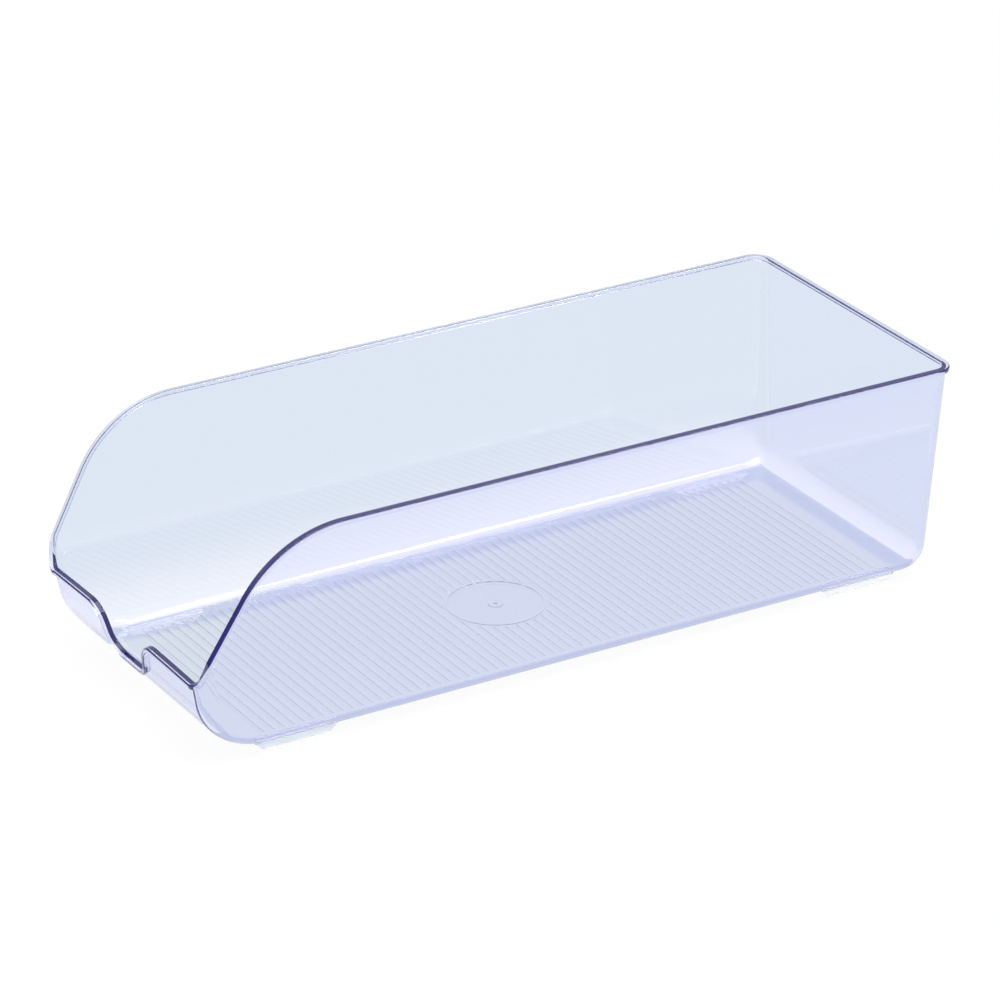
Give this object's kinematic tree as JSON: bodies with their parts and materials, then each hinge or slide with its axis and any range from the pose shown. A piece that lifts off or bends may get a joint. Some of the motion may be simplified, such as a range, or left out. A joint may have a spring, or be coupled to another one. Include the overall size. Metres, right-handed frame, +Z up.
{
  "type": "fridge can organizer",
  "caption": "Open bin of clear lavender plastic for drink cans in a fridge, with swooping sides, a low scooped front, a finger notch and a ribbed floor on soft strips.",
  "frame": {"origin": "on the surface that the bin stands on, under the middle of its outline", "axes": "-Y towards the low scooped front, +Y towards the rear wall, +X to the right as seen from the front, +Z up"},
  "size_m": [0.1478, 0.355, 0.0999],
  "materials": {
    "lavender_clear_plastic": "clear, tinted lavender, polished",
    "clear_soft_plastic": "clear, soft, slightly milky"
  },
  "bodies": {
    "root": {"bin_body": "lavender_clear_plastic", "foot_front_left": "clear_soft_plastic", "foot_front_right": "clear_soft_plastic", "foot_rear_left": "clear_soft_plastic", "foot_rear_right": "clear_soft_plastic"}
  },
  "joints": []
}
